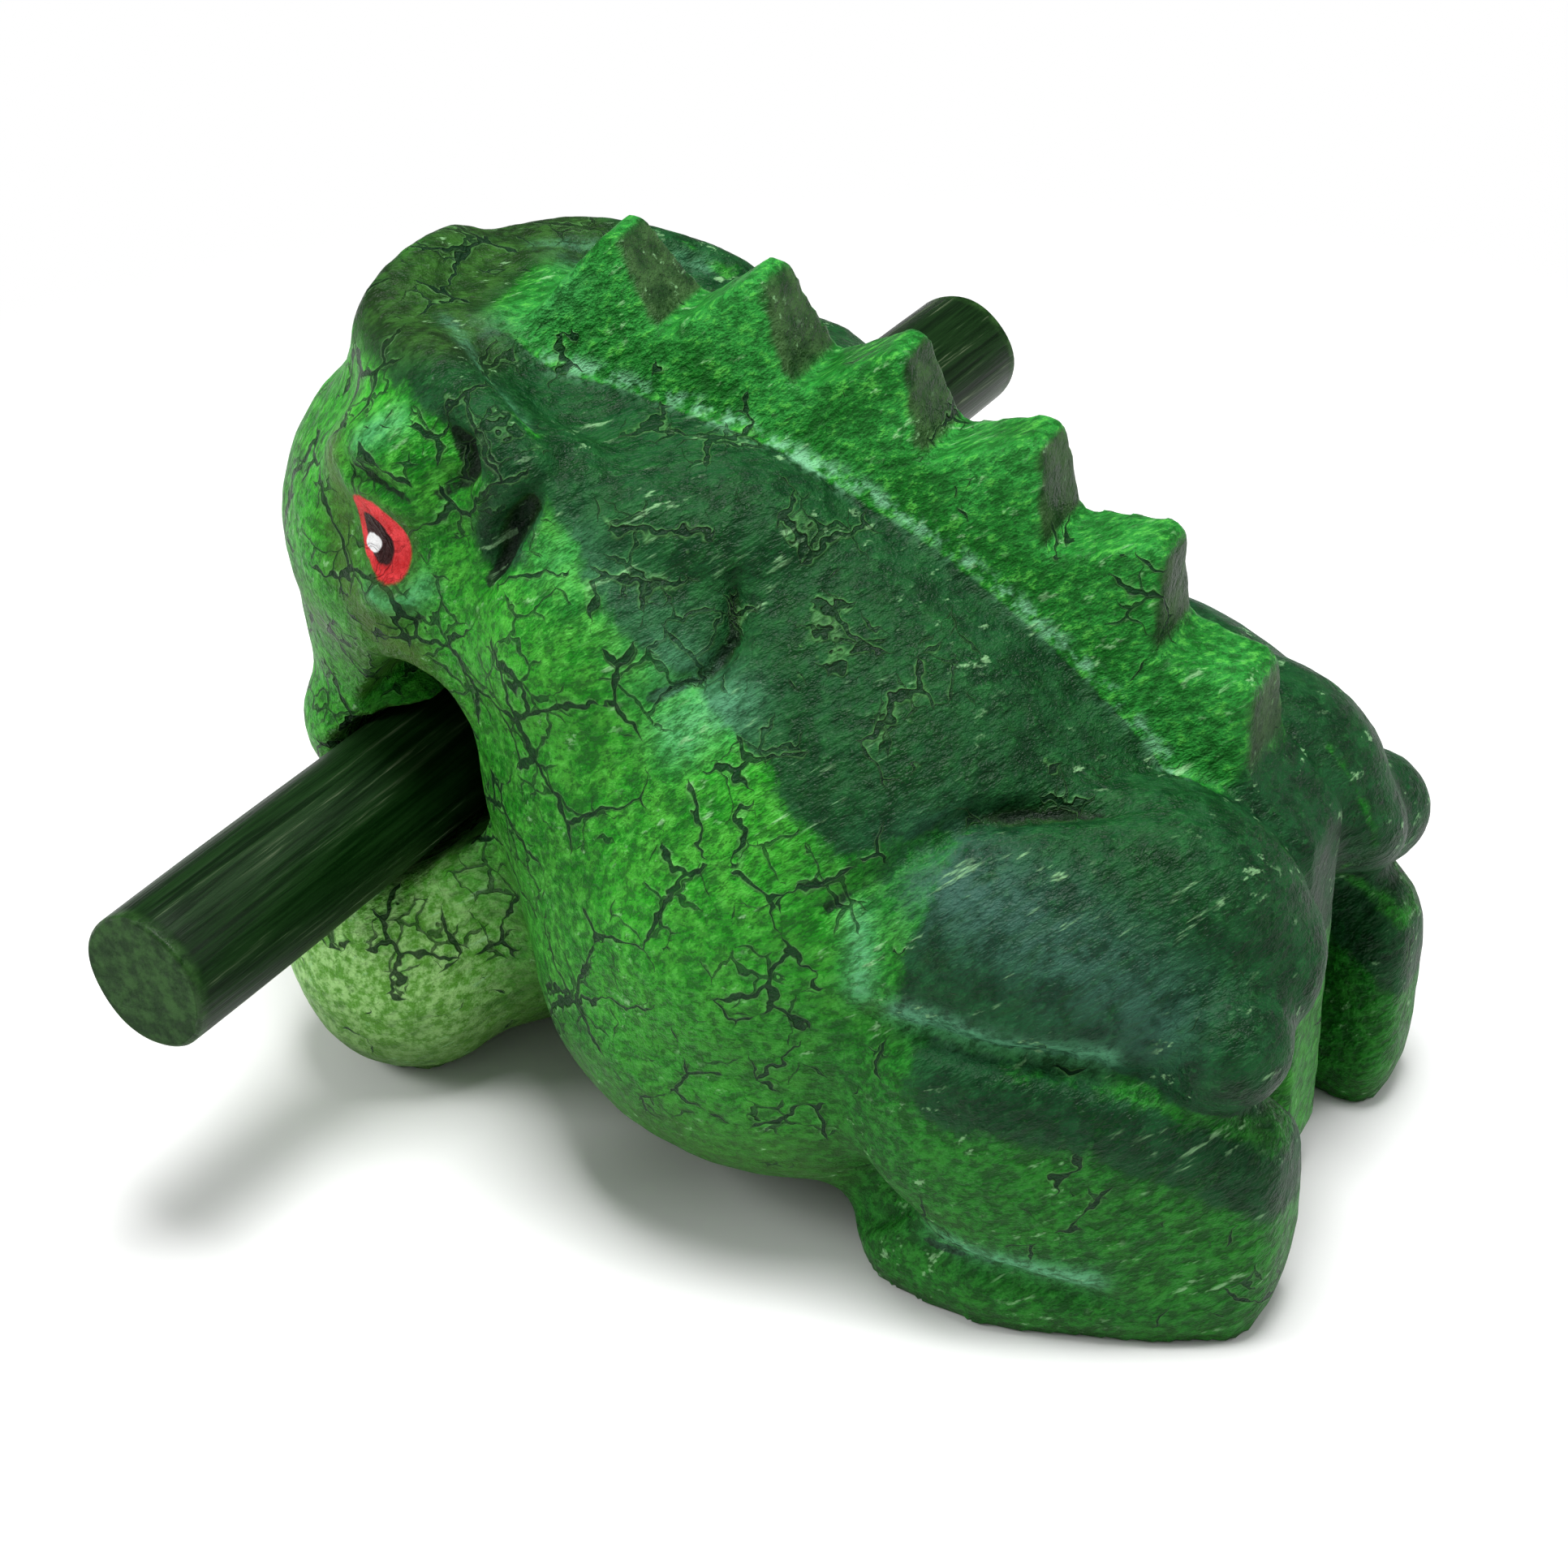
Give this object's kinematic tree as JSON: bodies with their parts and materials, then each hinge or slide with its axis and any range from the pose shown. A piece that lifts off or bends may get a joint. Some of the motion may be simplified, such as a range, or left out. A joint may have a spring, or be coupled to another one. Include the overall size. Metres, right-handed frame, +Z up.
{
  "type": "frog guiro",
  "caption": "Frog-shaped carved wooden rasp with a toothed crest along its back, a hollow mouth and a round striker stick kept crosswise in the mouth.",
  "frame": {"origin": "on the plane of the soles, under the middle of the bounding box", "axes": "+Z up from the soles, the frog faces -Y, its left side is +X, the stick lies roughly along X"},
  "size_m": [0.1328, 0.1028, 0.0816],
  "materials": {
    "green_paint": "satin crackled green paint on carved wood",
    "dark_green_paint": "satin dark green stain on turned wood"
  },
  "bodies": {
    "root": {"frog_body": "green_paint", "striker_stick": "dark_green_paint"}
  },
  "joints": []
}
